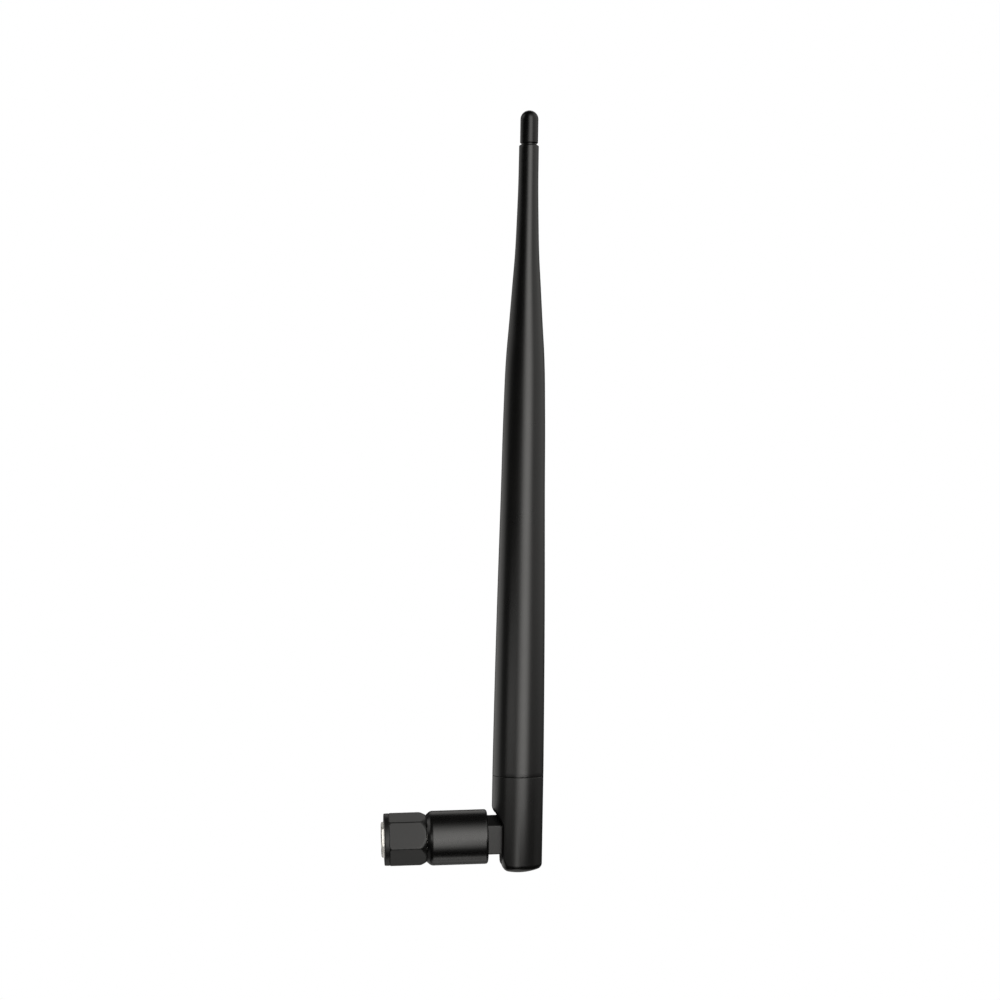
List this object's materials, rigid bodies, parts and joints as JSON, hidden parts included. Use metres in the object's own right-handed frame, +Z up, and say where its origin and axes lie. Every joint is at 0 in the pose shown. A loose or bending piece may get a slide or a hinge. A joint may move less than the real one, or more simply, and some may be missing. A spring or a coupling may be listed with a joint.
{
  "type": "articulated wireless antenna",
  "caption": "Slim tapered wireless antenna on a folding hinge and swivel, with a screw-on reverse-polarity SMA plug.",
  "frame": {"origin": "on the plug's axis at the inner end of the nut's thread, 0.1 mm in front of the shell's mating face", "axes": "-X out of the plug's mouth towards the jack, +Z up along the standing antenna, Y along the hinge pins"},
  "size_m": [0.0446, 0.0138, 0.1949],
  "materials": {
    "nickel_shell": "bright nickel plate",
    "ptfe": "smooth white PTFE",
    "gold_contact": "gold plate",
    "spring_bronze": "plain",
    "silicone": "soft silicone",
    "nickel_ferrule": "nickel plate, crimped",
    "coax_jacket": "extruded jacket",
    "nickel_nut": "bright nickel plate",
    "black_grip": "fine moulded satin",
    "black_barrel": "fine moulded satin",
    "retainer_brass": "plain",
    "black_arm": "fine moulded satin",
    "pin_steel": "ground",
    "black_fork": "fine moulded satin",
    "black_radome": "fine moulded satin",
    "black_cap": "smooth",
    "choke_brass": "drawn tube",
    "heatshrink": "shrunk sleeve",
    "copper_wire": "enamelled copper",
    "foam": "closed-cell foam"
  },
  "bodies": {
    "plug": {"connector_shell": "nickel_shell", "ptfe_insulator": "ptfe", "centre_contact": "gold_contact", "nut_snap_ring": "spring_bronze", "face_gasket": "silicone", "crimp_ferrule": "nickel_ferrule", "coax_lead": "coax_jacket"},
    "coupling_nut": {"nut_core": "nickel_nut", "nut_grip": "black_grip"},
    "swivel": {"swivel_barrel": "black_barrel", "barrel_retainer": "retainer_brass", "hinge_arm": "black_arm", "hinge_pin_left": "pin_steel", "hinge_pin_right": "pin_steel", "coax_bend": "coax_jacket"},
    "antenna": {"hinge_fork": "black_fork", "radome": "black_radome", "tip_cap": "black_cap", "coax_riser": "coax_jacket", "choke_sleeve": "choke_brass", "feed_core": "ptfe", "feed_heatshrink": "heatshrink", "radiator_wire": "copper_wire", "spacer_lower": "foam", "spacer_upper": "foam"}
  },
  "joints": [
    {"name": "nut_spin", "type": "hinge", "parent": "plug", "child": "coupling_nut", "pos_m": [0.0025, 0, 0], "axis": [-1, 0, 0], "continuous": true},
    {"name": "swivel_turn", "type": "hinge", "parent": "plug", "child": "swivel", "pos_m": [0.016, 0, 0], "axis": [1, 0, 0], "range_deg": [-180, 180]},
    {"name": "tilt", "type": "hinge", "parent": "swivel", "child": "antenna", "pos_m": [0.0328, 0, -0.0014], "axis": [0, 1, 0], "range_deg": [-2.3, 87.7], "deforming": ["coax_bend"]}
  ]
}
